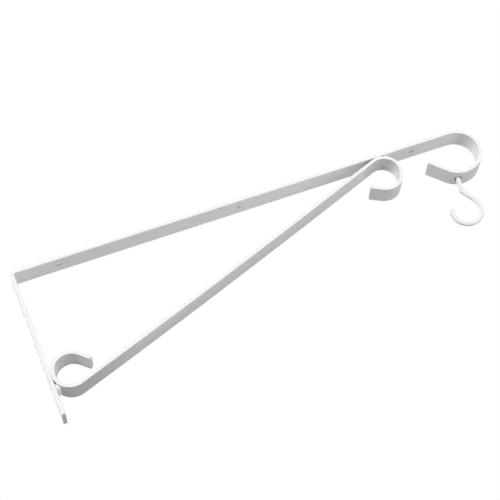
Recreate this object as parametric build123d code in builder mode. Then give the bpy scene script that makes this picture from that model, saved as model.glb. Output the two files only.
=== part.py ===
from build123d import *
from math import atan2, cos, degrees, radians, sin, sqrt
import os

# Wall bracket bent from painted flat bar, with a scroll brace and a swivel hook at its nose.
# Millimetres. +X runs out from the wall along the arm, +Y across the bar, +Z up.
# The origin lies on the wall face, midway between the two wall screw holes.

# The flat bar that the main bar and the brace are both bent from
bar_width = 16.0
bar_thickness = 3.2
bar_edge_radius = 0.4
bar_end_corner_radius = 1.6

# Main bar: a wall leg, a tight corner, a long arm and a scroll at the nose.
# All scroll radii are measured to the middle of the bar's thickness.
leg_height = 145.5
corner_inner_radius = 1.6
arm_length = 424.3
nose_radius = 18.4
belly_radius = 29.3
belly_turn = 86.4
chin_radius = 18.3
chin_turn = 55.4
chin_tail_length = 19.7

# Brace: a gently bowed bar with a curl at each end, touching the arm above and the leg below
brace_reach = 346.8
brace_drop = 107.6
brace_bow_radius = 10800.0
top_curl_radius = 13.65
top_curl_belly_radius = 24.8
top_curl_belly_turn = 51.0
top_curl_chin_radius = 15.55
top_curl_chin_turn = 70.7
top_curl_tail_length = 11.0
foot_curl_radius = 13.65
foot_curl_belly_radius = 32.6
foot_curl_belly_turn = 8.2
foot_curl_head_radius = 14.05
foot_curl_head_turn = 127.3
foot_curl_tail_length = 10.5

# Screw holes in the wall leg, measured from the arm's underside and from the foot,
# and the row of holes in the arm, measured from the wall
wall_hole_diameter = 4.8
upper_wall_hole_drop = 38.0
lower_wall_hole_rise = 10.8
arm_hole_diameter = 4.8
arm_hole_distances = (41.3, 207.1, 383.8)

# Weld beads that fill the wedge beside each place where a curl touches the main bar
bead_length = 11.0
bead_leg = 11.0
bead_curl_angle = 41.0
bead_root_distance = 3.0
bead_crown = 0.5
bead_end_radius = 3.0

# Swivel hook: one round wire with a pressed head, hanging through a hole in the chin
hook_wire_diameter = 4.4
hook_hole_diameter = 6.4
hook_hole_turn = 20.0
hook_shank_length = 13.4
hook_neck_radius = 3.5
hook_neck_turn = 44.0
hook_slope_length = 11.1
hook_shoulder_radius = 18.1
hook_shoulder_turn = 94.3
hook_bowl_radius = 12.45
hook_bowl_turn = 150.4
hook_tip_radius = 1.2
hook_head_diameter = 9.6
hook_head_height = 2.0
hook_head_edge_radius = 0.7
hook_head_clearance = 0.3

half_bar = bar_thickness / 2
wall_hole_spacing = leg_height - bar_thickness - upper_wall_hole_drop - lower_wall_hole_rise
arm_underside_z = upper_wall_hole_drop + wall_hole_spacing / 2
arm_middle_z = arm_underside_z + half_bar
leg_foot_z = arm_underside_z + bar_thickness - leg_height


def flat_bar(path):
    """A flat bar bent along a path in the XZ plane, with rounded edges and rounded end corners."""
    wire = path.wire()
    with BuildPart() as bar:
        with BuildSketch(Plane(origin=wire @ 0, x_dir=(0, 1, 0), z_dir=wire % 0)):
            RectangleRounded(bar_width, bar_thickness, bar_edge_radius)
        sweep(path=wire)
        for end, outward in ((wire @ 0, -(wire % 0)), (wire @ 1, wire % 1)):
            through = Vector(0, 1, 0).cross(outward)
            with BuildSketch(Plane(origin=end, x_dir=outward, z_dir=through)):
                with Locations((-bar_end_corner_radius / 2, 0)):
                    Rectangle(bar_end_corner_radius, bar_width)
                with Locations((-bar_width / 2, 0)):
                    RectangleRounded(bar_width, bar_width, bar_end_corner_radius, mode=Mode.SUBTRACT)
            extrude(amount=bar_thickness, both=True, mode=Mode.SUBTRACT)
    return bar.part


def weld_bead(contact_plane, curl_radius):
    """A bead in the wedge between a flat face and a curl. The plane's X runs along the flat face,
    away from the contact, and its Y points from the flat face into the curl."""
    curl = radians(bead_curl_angle)
    root_gap = curl_radius - sqrt(curl_radius**2 - bead_root_distance**2)
    root_turn = atan2(bead_root_distance, curl_radius - root_gap)
    mid_turn = (root_turn + curl) / 2

    def on_curl(turn):
        return (curl_radius * sin(turn), curl_radius - curl_radius * cos(turn))

    with BuildPart() as bead:
        with BuildSketch(contact_plane):
            with BuildLine():
                Line((bead_root_distance, 0), (bead_leg, 0))
                SagittaArc((bead_leg, 0), on_curl(curl), -bead_crown)
                ThreePointArc(on_curl(curl), on_curl(mid_turn), on_curl(root_turn))
                Line(on_curl(root_turn), (bead_root_distance, 0))
            make_face()
        extrude(amount=bead_length / 2, both=True)
        with BuildSketch(Plane(contact_plane.origin, contact_plane.x_dir, contact_plane.y_dir)):
            RectangleRounded(2 * (bead_leg + bead_crown), bead_length, bead_end_radius)
        extrude(amount=curl_radius, mode=Mode.INTERSECT)
    return bead.part


# Main bar
with BuildLine(Plane.XZ) as main_path:
    corner_radius = corner_inner_radius + half_bar
    leg = Line((half_bar, leg_foot_z), (half_bar, arm_middle_z - corner_radius))
    corner = JernArc(leg @ 1, leg % 1, corner_radius, -90)
    arm = Line(corner @ 1, (arm_length, arm_middle_z))
    nose = JernArc(arm @ 1, arm % 1, nose_radius, -90)
    belly = JernArc(nose @ 1, nose % 1, belly_radius, -belly_turn)
    chin = JernArc(belly @ 1, belly % 1, chin_radius, -chin_turn)
    PolarLine(chin @ 1, chin_tail_length, direction=chin % 1)

# The hook hole goes through the chin, square to the bar, just past the scroll's lowest point
chin_center = chin.center_point
hook_lean = radians(hook_hole_turn)
hook_up = Vector(sin(hook_lean), 0, cos(hook_lean))
hook_across = Vector(cos(hook_lean), 0, -sin(hook_lean))
chin_outer_radius = chin_radius + half_bar
hook_mouth = chin_center - hook_up * chin_outer_radius

with BuildPart() as main_bar:
    add(flat_bar(main_path))
    with BuildSketch(Plane.YZ):
        with Locations((0, wall_hole_spacing / 2), (0, -wall_hole_spacing / 2)):
            Circle(wall_hole_diameter / 2)
    extrude(amount=bar_thickness, mode=Mode.SUBTRACT)
    with BuildSketch(Plane.XY.offset(arm_underside_z)):
        with Locations(*[(distance, 0) for distance in arm_hole_distances]):
            Circle(arm_hole_diameter / 2)
    extrude(amount=bar_thickness, mode=Mode.SUBTRACT)
    with BuildSketch(Plane(origin=hook_mouth, x_dir=hook_across, z_dir=hook_up)):
        Circle(hook_hole_diameter / 2)
    extrude(amount=2 * bar_thickness, both=True, mode=Mode.SUBTRACT)

# Brace. Its bow is a large arc that touches both curls: the foot curl from inside, the top curl
# from outside. The bow's centre is where the two circles of possible centres cross.
foot_contact = Vector(bar_thickness, 0, arm_underside_z - brace_drop)
top_contact = Vector(brace_reach, 0, arm_underside_z)
foot_center = foot_contact + Vector(foot_curl_radius + half_bar, 0, 0)
top_center = top_contact - Vector(0, 0, top_curl_radius + half_bar)
from_foot = brace_bow_radius - foot_curl_radius
from_top = brace_bow_radius + top_curl_radius
between = top_center - foot_center
along = (from_foot**2 - from_top**2 + between.length**2) / (2 * between.length)
line_of_centers = between.normalized()
upward = Vector(-line_of_centers.Z, 0, line_of_centers.X)
bow_center = foot_center + line_of_centers * along + upward * sqrt(from_foot**2 - along**2)
foot_normal = (foot_center - bow_center).normalized()
top_normal = (top_center - bow_center).normalized()
foot_heading = degrees(atan2(foot_normal.X, -foot_normal.Z))
top_heading = degrees(atan2(top_normal.X, -top_normal.Z))

with BuildLine(Plane.XZ) as brace_path:
    foot_start = foot_contact + Vector(half_bar, 0, 0)
    foot_belly = JernArc(foot_start, (0, 1), foot_curl_belly_radius, -foot_curl_belly_turn)
    foot_head = JernArc(foot_belly @ 1, foot_belly % 1, foot_curl_head_radius, -foot_curl_head_turn)
    PolarLine(foot_head @ 1, foot_curl_tail_length, direction=foot_head % 1)
    foot_curl = JernArc(foot_start, (0, -1), foot_curl_radius, 90 + foot_heading)
    bow = JernArc(foot_curl @ 1, foot_curl % 1, brace_bow_radius, top_heading - foot_heading)
    top_curl = JernArc(bow @ 1, bow % 1, top_curl_radius, -90 - top_heading)
    top_belly = JernArc(top_curl @ 1, top_curl % 1, top_curl_belly_radius, -top_curl_belly_turn)
    top_chin = JernArc(top_belly @ 1, top_belly % 1, top_curl_chin_radius, -top_curl_chin_turn)
    PolarLine(top_chin @ 1, top_curl_tail_length, direction=top_chin % 1)

with BuildPart() as scroll_brace:
    add(flat_bar(brace_path))

# Weld beads: below the foot's contact on the leg, and in front of the top's contact on the arm
foot_weld_plane = Plane(origin=foot_contact, x_dir=(0, 0, -1), z_dir=(0, -1, 0))
top_weld_plane = Plane(origin=top_contact, x_dir=(1, 0, 0), z_dir=(0, 1, 0))
with BuildPart() as lower_weld:
    add(weld_bead(foot_weld_plane, foot_curl_radius + half_bar))
with BuildPart() as upper_weld:
    add(weld_bead(top_weld_plane, top_curl_radius + half_bar))

# Swivel hook, drawn in its own plane: Y runs up the shank, X across it, origin at the hole's mouth
hook_plane = Plane(origin=hook_mouth, x_dir=hook_across, z_dir=(0, -1, 0))
head_radius = hook_head_diameter / 2
rim_limit = chin_radius - half_bar - hook_head_edge_radius
rim_drop = sqrt((rim_limit - hook_head_clearance) ** 2 - (head_radius - hook_head_edge_radius) ** 2)
head_seat = bar_thickness + rim_limit - rim_drop
head_middle = head_seat + hook_head_height / 2

with BuildLine(hook_plane) as hook_path:
    shank = Line((0, head_middle), (0, -hook_shank_length))
    neck = JernArc(shank @ 1, shank % 1, hook_neck_radius, hook_neck_turn)
    slope = PolarLine(neck @ 1, hook_slope_length, direction=neck % 1)
    shoulder = JernArc(slope @ 1, slope % 1, hook_shoulder_radius, -hook_shoulder_turn)
    bowl = JernArc(shoulder @ 1, shoulder % 1, hook_bowl_radius, -hook_bowl_turn)

with BuildPart() as swivel_hook:
    with BuildSketch(Plane(origin=hook_path.wire() @ 0, z_dir=hook_path.wire() % 0)):
        Circle(hook_wire_diameter / 2)
    sweep(path=hook_path.wire())
    tip = swivel_hook.faces().filter_by(GeomType.PLANE).sort_by_distance(bowl @ 1)[0]
    fillet(tip.edges(), hook_tip_radius)
    with BuildSketch(hook_plane):
        with Locations((0, head_middle)):
            RectangleRounded(hook_head_diameter, hook_head_height, hook_head_edge_radius)
        with Locations((-head_radius, head_middle)):
            Rectangle(hook_head_diameter, hook_head_height, mode=Mode.SUBTRACT)
    revolve(axis=Axis(hook_mouth, hook_up))

main_bar.part.label = "main_bar"
scroll_brace.part.label = "scroll_brace"
lower_weld.part.label = "lower_weld"
upper_weld.part.label = "upper_weld"
swivel_hook.part.label = "swivel_hook"

os.makedirs("parts", exist_ok=True)
export_step(main_bar.part, "parts/main_bar.step")
export_step(scroll_brace.part, "parts/scroll_brace.step")
export_step(lower_weld.part, "parts/lower_weld.step")
export_step(upper_weld.part, "parts/upper_weld.step")
export_step(swivel_hook.part, "parts/swivel_hook.step")
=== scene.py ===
import math

import bmesh
import bpy
from mathutils import Matrix, Vector


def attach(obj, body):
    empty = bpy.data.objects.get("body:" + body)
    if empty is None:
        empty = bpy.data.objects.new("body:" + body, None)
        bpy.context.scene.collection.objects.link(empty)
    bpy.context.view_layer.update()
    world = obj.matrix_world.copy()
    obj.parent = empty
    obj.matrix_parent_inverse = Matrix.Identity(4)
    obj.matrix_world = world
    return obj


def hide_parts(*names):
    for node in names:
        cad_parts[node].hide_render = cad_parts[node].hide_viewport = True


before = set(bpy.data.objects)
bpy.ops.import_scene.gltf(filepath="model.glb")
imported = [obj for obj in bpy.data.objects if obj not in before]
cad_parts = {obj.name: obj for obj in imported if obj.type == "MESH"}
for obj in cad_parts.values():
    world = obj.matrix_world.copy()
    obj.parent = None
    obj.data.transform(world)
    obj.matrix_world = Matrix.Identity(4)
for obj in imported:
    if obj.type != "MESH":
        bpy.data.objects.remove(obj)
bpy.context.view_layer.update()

# White powder-coated sign bracket, seen from below and in front, against plain white.
# Metres, in the frame of the solids: +X out from the wall, +Y across the bar, +Z up.

scene = bpy.context.scene


# Places shared with the solids
bar_thickness = 0.0032
foot_height = -0.05755
curl_outer_radius = 0.01525
lower_curl_middle = Vector((0.01845, 0.0, -0.02285))
lower_curl_bottom = Vector((0.0185, 0.0, -0.0381))
upper_curl_middle = Vector((0.3468, 0.0, 0.0695))
lower_contact = Vector((0.0032, 0.0, -0.02285))
upper_contact = Vector((0.3468, 0.0, 0.08475))
arm_hole_places = (0.0413, 0.2071, 0.3838)
arm_middle_height = 0.08635
wall_hole_heights = (0.04675, -0.04675)
small_hole_radius = 0.0024
hook_hole_place = Vector((0.40783, 0.0, 0.03978))
hook_hole_axis = Vector((0.34202, 0.0, 0.93969))
hook_hole_radius = 0.0032
up = Vector((0.0, 0.0, 1.0))
outward = Vector((1.0, 0.0, 0.0))

# Weld beads: distances along the bar from the point where the curl touches it
bead_half_length = 0.0066
bead_end_length = 0.0036
bead_root = 0.0042
bead_middle = 0.0074
bead_bar_toe = 0.0114
bead_curl_angle = math.radians(41.0)
bead_crown = 0.0006
bead_sink = 0.0001
bead_ripple = 0.00014
bead_pitch = 0.0015
bead_lag = 0.0006
bead_tip = 0.0002
bead_least_size = 0.2
bead_rings = 72
bead_bar_steps = 5
bead_crown_steps = 16
bead_curl_steps = 6

# Colours, from 0 to 1
bar_white = (0.87, 0.87, 0.87)
weld_white = (0.90, 0.90, 0.895)
hook_white = (0.87, 0.87, 0.87)
thin_coat = (0.66, 0.66, 0.65, 1.0)
# The next five colours are painted shade: in hollows and the upper curl, on dull places, under the
# lower curl, in creases and on the walls of drilled holes
painted_shade_grey = (0.47, 0.49, 0.52, 1.0)
dull_shade_grey = (0.50, 0.51, 0.52, 1.0)
under_curl_shade_grey = (0.45, 0.455, 0.46, 1.0)
crease_shade_grey = (0.15, 0.15, 0.16, 1.0)
bore_shade_grey = (0.22, 0.23, 0.25, 1.0)
floor_white = (0.9, 0.9, 0.9, 1.0)
plain_white = (1.0, 1.0, 1.0, 1.0)
cool_white = (0.96, 0.98, 1.0, 1.0)

# Noises of the coat: scale per metre, octaves and roughness
grain_noise = (3200.0, 2.0, 0.6)
drift_noise = (38.0, 3.0, 0.55)
patch_noise = (170.0, 3.0, 0.6)
peel_octaves = 2.0
peel_roughness = 0.5

# The coat itself. A band is the two values between which an effect comes in or goes
drift_tint = 0.965
drift_tint_band = (0.35, 0.65)
grain_tint = 0.955
grain_tint_band = (0.4, 0.7)
grain_tint_share = 0.6
gloss_band = (0.3, 0.7)
gloss_by_drift = (0.50, 0.58)
gloss_by_grain = (-0.02, 0.04)
grain_height = 0.2
bump_strength = 0.2
edge_radius = 0.0008
edge_band = (0.80, 0.985)
edge_patch_band = (0.4, 0.65)
edge_shares = (0.03, 0.25)
# Painted shade where other surfaces lie within the wide reach
wide_reach = 0.03
wide_band = (0.25, 0.85)
deep_band = (0.1, 0.5)
deep_share = 0.3
# Painted shade in tight creases, weaker away from the lower weld
close_reach = 0.005
close_band = (0.05, 0.4)
near_weld_band = (0.02, 0.05)
far_crease_shade_share = 0.5

# Painted shade on the bars: bands of distance, of place and of the normal, and greatest shares
weld_shade_band = (0.014, 0.08)
weld_shade_share = 0.7
brace_shade_band = (0.03, 0.35)
brace_shade_share = 0.5
far_side_band = (-0.006, 0.008)
facing_down_band = (-0.8, -0.2)
below_arm_band = (0.05, 0.075)
curl_outside_band = (0.0135, 0.0145)
curl_inside_band = (0.016, 0.022)
curl_inside_share = 0.42
facing_curl_band = (0.3, 0.7)
nose_band = (0.425, 0.437)
nose_share = 0.3
facing_back_band = (-0.8, -0.4)
wall_side_band = (0.00005, 0.0002)
wall_side_share = 0.6
facing_wall_band = (-0.95, -0.7)
foot_band = (foot_height + 0.00003, foot_height + 0.0001)
foot_share = 0.35

# Drilled holes: shares of painted shade, reach each way from the middle, and how softly each ends
small_hole_shade = 0.3
hook_hole_shade = 0.8
small_hole_reach = 0.6 * bar_thickness
hook_hole_reach = 0.8 * bar_thickness
bore_skin = (0.00004, 0.00014)
bore_mouth = 0.0002

# Lamps: name, the way the light comes from, strength in W/m2
lamps = [
    ("wall_front", (-1, -1, 0), 0.89),
    ("wall_back_top", (-1, 1, 1), 1.40),
    ("top", (0, 0, 1), 1.18),
    ("front", (0, -1, 0), 1.39),
    ("nose_front_under", (1, -1, -1), 0.96),
    ("nose_back_under", (1, 1, -1), 0.26),
]
room_light = 0.217
lamp_softness = math.radians(50.0)

floor_height = -0.9
floor_half_width = 12.0
floor_fade_band = (1.0, 5.0)
floor_roughness = 0.8


# Camera
camera_place = Vector((-0.0353, -0.6941, -0.4457))
camera_aim = Vector((0.19746, 0.0, 0.03668))
camera_roll = math.radians(28.973)
camera_lens_mm = 73.16
camera_sensor_mm = 36.0

camera_data = bpy.data.cameras.new("camera")
camera_data.lens = camera_lens_mm
camera_data.sensor_width = camera_sensor_mm
camera_data.clip_start = 0.01
camera_data.clip_end = 20.0
camera = bpy.data.objects.new("camera", camera_data)
scene.collection.objects.link(camera)
aim_turn = (camera_aim - camera_place).to_track_quat("-Z", "Y").to_matrix().to_4x4()
camera.matrix_world = (
    Matrix.Translation(camera_place) @ aim_turn @ Matrix.Rotation(-camera_roll, 4, "Z")
)
scene.camera = camera


# Materials
class Graph:
    """Adds and joins the shader nodes of one node tree."""

    def __init__(self, tree):
        self.nodes = tree.nodes
        self.links = tree.links
        self.nodes.clear()

    def add(self, kind, values=None, **settings):
        """A node with its settings, and its inputs joined or set by name or number."""
        node = self.nodes.new(kind)
        for setting, value in settings.items():
            setattr(node, setting, value)
        for socket, value in (values or {}).items():
            if isinstance(value, bpy.types.NodeSocket):
                self.links.new(value, node.inputs[socket])
            else:
                node.inputs[socket].default_value = value
        return node

    def math(self, operation, first, second=0.0):
        return self.add("ShaderNodeMath", {0: first, 1: second}, operation=operation).outputs[0]

    def product(self, *factors):
        whole = factors[0]
        for factor in factors[1:]:
            whole = self.math("MULTIPLY", whole, factor)
        return whole

    def vector(self, operation, first, second=(0.0, 0.0, 0.0), result="Vector"):
        values = {0: first, 1: second}
        return self.add("ShaderNodeVectorMath", values, operation=operation).outputs[result]

    def parts(self, vector):
        return self.add("ShaderNodeSeparateXYZ", {0: vector}).outputs

    def span(self, value, band, start, end):
        """Runs from start to end while the value runs through the band."""
        values = {0: value, 1: band[0], 2: band[1], 3: start, 4: end}
        return self.add("ShaderNodeMapRange", values).outputs[0]

    def noise(self, place, scale, octaves, roughness):
        values = {"Vector": place, "Scale": scale, "Detail": octaves, "Roughness": roughness}
        return self.add("ShaderNodeTexNoise", values).outputs[0]

    def mix(self, share, first, second):
        values = {0: share, 6: first, 7: second}
        return self.add("ShaderNodeMix", values, data_type="RGBA").outputs[2]

    def shelter(self, reach):
        """1 in the open, and less where other surfaces lie within reach."""
        values = {"Distance": reach}
        return self.add("ShaderNodeAmbientOcclusion", values, samples=8).outputs["AO"]

    def distance(self, place, point):
        return self.vector("LENGTH", self.vector("SUBTRACT", place, point), result="Value")

    def facing(self, surface, place, point):
        """1 where the surface faces the point, and -1 where it faces away."""
        toward = self.vector("NORMALIZE", self.vector("SUBTRACT", point, place))
        return self.vector("DOT_PRODUCT", surface, toward, result="Value")

    def bore(self, place, centre, axis, radius, reach):
        """1 on the wall of a drilled hole, 0 elsewhere."""
        offset = self.vector("SUBTRACT", place, centre)
        along = self.vector("DOT_PRODUCT", offset, axis, result="Value")
        whole = self.vector("LENGTH", offset, result="Value")
        square = self.math("SUBTRACT", self.product(whole, whole), self.product(along, along))
        across = self.math("SQRT", self.math("MAXIMUM", square, 0.0))
        near = self.span(across, (radius + bore_skin[0], radius + bore_skin[1]), 1.0, 0.0)
        depth = self.math("ABSOLUTE", along)
        within = self.span(depth, (reach, reach + bore_mouth), 1.0, 0.0)
        return self.product(near, within)


def shade(colour, level):
    return (*(level * part for part in colour), 1.0)


# Each drilled hole: middle, axis, radius, reach and share of painted shade
bores = [
    (Vector((x, 0.0, arm_middle_height)), up, small_hole_radius, small_hole_reach, small_hole_shade)
    for x in arm_hole_places
]
bores += [
    (
        Vector((bar_thickness / 2, 0.0, z)),
        outward,
        small_hole_radius,
        small_hole_reach,
        small_hole_shade,
    )
    for z in wall_hole_heights
]
bores.append((hook_hole_place, hook_hole_axis, hook_hole_radius, hook_hole_reach, hook_hole_shade))


def bar_marks(graph, place, surface, paint):
    """Painted shade on the flat bars, and a mask of their drilled holes."""
    at = graph.parts(place)
    toward = graph.parts(surface)

    # Painted shade on the downward faces near the lower weld on the curl, and along the far side
    # of the brace's underside
    from_weld = graph.distance(place, lower_curl_bottom)
    under_curl_shade = graph.math(
        "MAXIMUM",
        graph.span(from_weld, weld_shade_band, weld_shade_share, 0.0),
        graph.product(
            graph.span(from_weld, brace_shade_band, brace_shade_share, 0.0),
            graph.span(at["Y"], far_side_band, 0.0, 1.0),
        ),
    )
    under_curl_shade = graph.product(
        under_curl_shade,
        graph.span(toward["Z"], facing_down_band, 1.0, 0.0),
        graph.span(at["Z"], below_arm_band, 1.0, 0.0),
        graph.span(graph.distance(place, lower_curl_middle), curl_outside_band, 0.0, 1.0),
    )
    paint = graph.mix(under_curl_shade, paint, under_curl_shade_grey)

    # Painted shade inside the upper curl and the nose, on the leg's wall side and on the cut foot
    inside = graph.product(
        graph.span(
            graph.distance(place, upper_curl_middle), curl_inside_band, curl_inside_share, 0.0
        ),
        graph.span(graph.facing(surface, place, upper_curl_middle), facing_curl_band, 0.0, 1.0),
    )
    paint = graph.mix(inside, paint, painted_shade_grey)
    nose = graph.product(
        graph.span(at["X"], nose_band, 0.0, nose_share),
        graph.span(toward["X"], facing_back_band, 1.0, 0.0),
    )
    paint = graph.mix(nose, paint, dull_shade_grey)
    wall_side = graph.product(
        graph.span(at["X"], wall_side_band, wall_side_share, 0.0),
        graph.span(toward["X"], facing_wall_band, 1.0, 0.0),
    )
    paint = graph.mix(wall_side, paint, dull_shade_grey)
    paint = graph.mix(graph.span(at["Z"], foot_band, foot_share, 0.0), paint, dull_shade_grey)

    drilled = 0.0
    # Painted shade on the walls of the drilled holes
    for centre, axis, radius, reach, hole_shade_share in bores:
        wall = graph.bore(place, centre, axis, radius, reach)
        paint = graph.mix(graph.product(wall, hole_shade_share), paint, bore_shade_grey)
        drilled = graph.math("MAXIMUM", wall, drilled)
    return paint, drilled


def powder_coat(name, colour, peel_scale, peel_height, shading, crease_shading, bars=False):
    """White powder coat: orange peel, uneven gloss, thin on edges, with painted shade in corners
    and holes.
    """
    material = bpy.data.materials.new(name)
    material.use_nodes = True
    graph = Graph(material.node_tree)
    place = graph.add("ShaderNodeTexCoord").outputs["Object"]
    peel = graph.noise(place, peel_scale, peel_octaves, peel_roughness)
    grain = graph.noise(place, *grain_noise)
    drift = graph.noise(place, *drift_noise)
    patches = graph.noise(place, *patch_noise)

    tint = graph.span(drift, drift_tint_band, 0.0, 1.0)
    paint = graph.mix(tint, shade(colour, drift_tint), shade(colour, 1.0))
    tint = graph.span(grain, grain_tint_band, 0.0, grain_tint_share)
    paint = graph.mix(tint, paint, shade(colour, grain_tint))

    surface = graph.add("ShaderNodeNewGeometry").outputs["Normal"]
    rounded = graph.add("ShaderNodeBevel", {"Radius": edge_radius}, samples=4).outputs["Normal"]
    flatness = graph.vector("DOT_PRODUCT", surface, rounded, result="Value")
    edge = graph.product(
        graph.span(flatness, edge_band, 1.0, 0.0),
        graph.span(patches, edge_patch_band, *edge_shares),
    )
    paint = graph.mix(edge, paint, thin_coat)

    # Painted shade where other surfaces are near, but less of it in the deepest wedges
    wide = graph.shelter(wide_reach)
    shaded = graph.product(
        graph.span(wide, wide_band, shading, 0.0), graph.span(wide, deep_band, deep_share, 1.0)
    )
    # Painted shade in tight creases
    crease_shade = graph.span(graph.shelter(close_reach), close_band, crease_shading, 0.0)
    if bars:
        paint, drilled = bar_marks(graph, place, surface, paint)
        solid = graph.math("SUBTRACT", 1.0, drilled)
        from_weld = graph.distance(place, lower_contact)
        shaded = graph.product(shaded, solid)
        crease_shade = graph.product(
            crease_shade, solid, graph.span(from_weld, near_weld_band, 1.0, far_crease_shade_share)
        )
    paint = graph.mix(shaded, paint, painted_shade_grey)
    paint = graph.mix(crease_shade, paint, crease_shade_grey)

    gloss = graph.math(
        "ADD",
        graph.span(drift, gloss_band, *gloss_by_drift),
        graph.span(grain, gloss_band, *gloss_by_grain),
    )
    height = graph.math("ADD", peel, graph.product(grain, grain_height))
    bump = graph.add(
        "ShaderNodeBump", {"Strength": bump_strength, "Distance": peel_height, "Height": height}
    )
    shader = graph.add(
        "ShaderNodeBsdfPrincipled",
        {"Base Color": paint, "Roughness": gloss, "Normal": bump.outputs["Normal"]},
    )
    graph.add("ShaderNodeOutputMaterial", {"Surface": shader.outputs["BSDF"]})
    return material


# Name, colour, scale and height of the orange peel, shares of painted shade from wide and from
# close surroundings
bar_paint = powder_coat("bar_paint", bar_white, 900.0, 0.00004, 0.5, 0.9, bars=True)
weld_paint = powder_coat("weld_paint", weld_white, 1400.0, 0.00006, 0.1, 0.25)
hook_paint = powder_coat("hook_paint", hook_white, 1100.0, 0.00003, 0.2, 0.5)
paints = {
    "main_bar": bar_paint,
    "scroll_brace": bar_paint,
    "lower_weld": weld_paint,
    "upper_weld": weld_paint,
    "swivel_hook": hook_paint,
}
for name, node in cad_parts.items():
    if not node.material_slots:
        node.data.materials.append(paints[name])
    for slot in node.material_slots:
        slot.material = paints[name]


# Weld beads
def curl_side(reach):
    """How far the curl has turned away from the bar at this distance from their contact."""
    return curl_outer_radius - math.sqrt(curl_outer_radius**2 - reach**2) + bead_sink


def bead_outline(y):
    """One section of the bead: distances along the bar, and away from it."""
    past = max(0.0, abs(y) - bead_half_length + bead_end_length) / bead_end_length
    size = max(bead_least_size, math.sqrt(max(0.0, 1.0 - past**2)))
    curl_toe = curl_outer_radius * math.sin(bead_curl_angle)
    root = bead_middle + (bead_root - bead_middle) * size
    bar_toe = bead_middle + (bead_bar_toe - bead_middle) * size
    far_toe = bead_middle + (curl_toe - bead_middle) * size
    run = far_toe - bar_toe
    rise = curl_side(far_toe) + bead_sink
    length = math.hypot(run, rise)
    outline = []
    for step in range(bead_bar_steps):
        outline.append((root + (bar_toe - root) * step / bead_bar_steps, -bead_sink))
    for step in range(bead_crown_steps + 1):
        share = step / bead_crown_steps
        offset = 2.0 * share - 1.0
        wave = abs(math.sin(math.pi * (y + bead_lag * offset**2) / bead_pitch))
        swell = size * (bead_crown * (1.0 - offset**2) + bead_ripple * wave * (1.0 - offset**4))
        outline.append(
            (
                bar_toe + run * share + rise / length * swell,
                -bead_sink + rise * share - run / length * swell,
            )
        )
    for step in range(1, bead_curl_steps + 1):
        reach = far_toe + (root - far_toe) * step / bead_curl_steps
        outline.append((reach, curl_side(reach)))
    return outline


def weld_bead(name, node, contact, along, away):
    """A rippled bead in the wedge between a flat bar and the curl that touches it."""
    solid = bmesh.new()
    loops = []
    for ring in range(bead_rings + 1):
        y = bead_half_length * (2.0 * ring / bead_rings - 1.0)
        loop = []
        for reach, rise in bead_outline(y):
            point = contact + along * reach + away * rise
            point.y = y
            loop.append(solid.verts.new(point))
        loops.append(loop)
    count = len(loops[0])
    for first, second in zip(loops, loops[1:]):
        for k in range(count):
            after = (k + 1) % count
            solid.faces.new((first[k], first[after], second[after], second[k]))
    for loop, side in ((loops[0], -1.0), (loops[-1], 1.0)):
        middle = sum((vertex.co for vertex in loop), Vector()) / count
        tip = solid.verts.new(middle + Vector((0.0, side * bead_tip, 0.0)))
        for k in range(count):
            solid.faces.new((loop[k], loop[(k + 1) % count], tip))
    bmesh.ops.recalc_face_normals(solid, faces=solid.faces[:])
    for face in solid.faces:
        face.smooth = True
    mesh = bpy.data.meshes.new(name)
    solid.to_mesh(mesh)
    solid.free()
    mesh.materials.append(weld_paint)
    piece = bpy.data.objects.new(name, mesh)
    scene.collection.objects.link(piece)
    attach(piece, "bracket")
    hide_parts(node)


weld_bead("lower_weld_bead", "lower_weld", lower_contact, -up, outward)
weld_bead("upper_weld_bead", "upper_weld", upper_contact, outward, -up)


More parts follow.
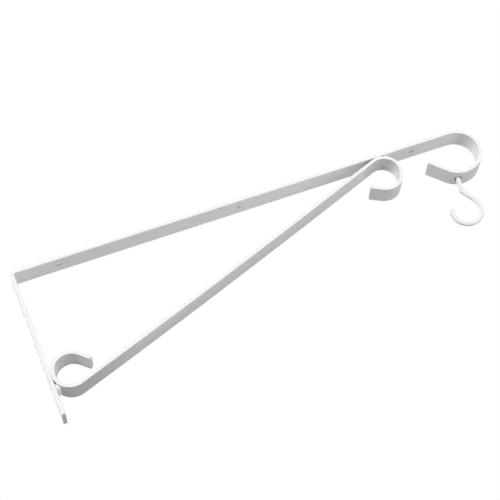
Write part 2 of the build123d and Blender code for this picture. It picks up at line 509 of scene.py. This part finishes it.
# Floor: it takes the object's shadow, throws no light back at it, and fades to white far away
floor_mesh = bpy.data.meshes.new("floor")
floor_mesh.from_pydata(
    [
        (x * floor_half_width, y * floor_half_width, floor_height)
        for x, y in ((-1, -1), (1, -1), (1, 1), (-1, 1))
    ],
    [],
    [(0, 1, 2, 3)],
)
floor_paint = bpy.data.materials.new("floor_paint")
floor_paint.use_nodes = True
graph = Graph(floor_paint.node_tree)
shader = graph.add(
    "ShaderNodeBsdfPrincipled", {"Base Color": floor_white, "Roughness": floor_roughness}
)
place = graph.add("ShaderNodeTexCoord").outputs["Object"]
flat_place = graph.vector("MULTIPLY", place, (1.0, 1.0, 0.0))
from_middle = graph.vector("LENGTH", flat_place, result="Value")
fade = graph.product(
    graph.span(from_middle, floor_fade_band, 0.0, 1.0),
    graph.add("ShaderNodeLightPath").outputs["Is Camera Ray"],
)
far = graph.add("ShaderNodeEmission", {"Color": plain_white, "Strength": 1.0})
both = graph.add("ShaderNodeMixShader", {0: fade, 1: shader.outputs["BSDF"], 2: far.outputs[0]})
graph.add("ShaderNodeOutputMaterial", {"Surface": both.outputs[0]})
floor_mesh.materials.append(floor_paint)
floor = bpy.data.objects.new("floor", floor_mesh)
floor.visible_shadow = False
floor.visible_diffuse = False
scene.collection.objects.link(floor)


# World and lights
world = bpy.data.worlds.new("studio")
scene.world = world
world.use_nodes = True
graph = Graph(world.node_tree)
path = graph.add("ShaderNodeLightPath")
seen = graph.math("MAXIMUM", path.outputs["Is Camera Ray"], path.outputs["Is Glossy Ray"])
seen = graph.math("MAXIMUM", seen, path.outputs["Is Transmission Ray"])
soft = graph.add("ShaderNodeBackground", {"Color": cool_white, "Strength": room_light})
backdrop = graph.add("ShaderNodeBackground", {"Color": plain_white, "Strength": 1.0})
both = graph.add("ShaderNodeMixShader", {0: seen, 1: soft.outputs[0], 2: backdrop.outputs[0]})
graph.add("ShaderNodeOutputWorld", {"Surface": both.outputs[0]})

for name, source, strength in lamps:
    sun = bpy.data.lights.new(name, "SUN")
    sun.energy = strength
    sun.angle = lamp_softness
    lamp = bpy.data.objects.new(name, sun)
    lamp.rotation_euler = Vector(source).to_track_quat("Z", "Y").to_euler()
    scene.collection.objects.link(lamp)

scene.view_settings.view_transform = "Standard"
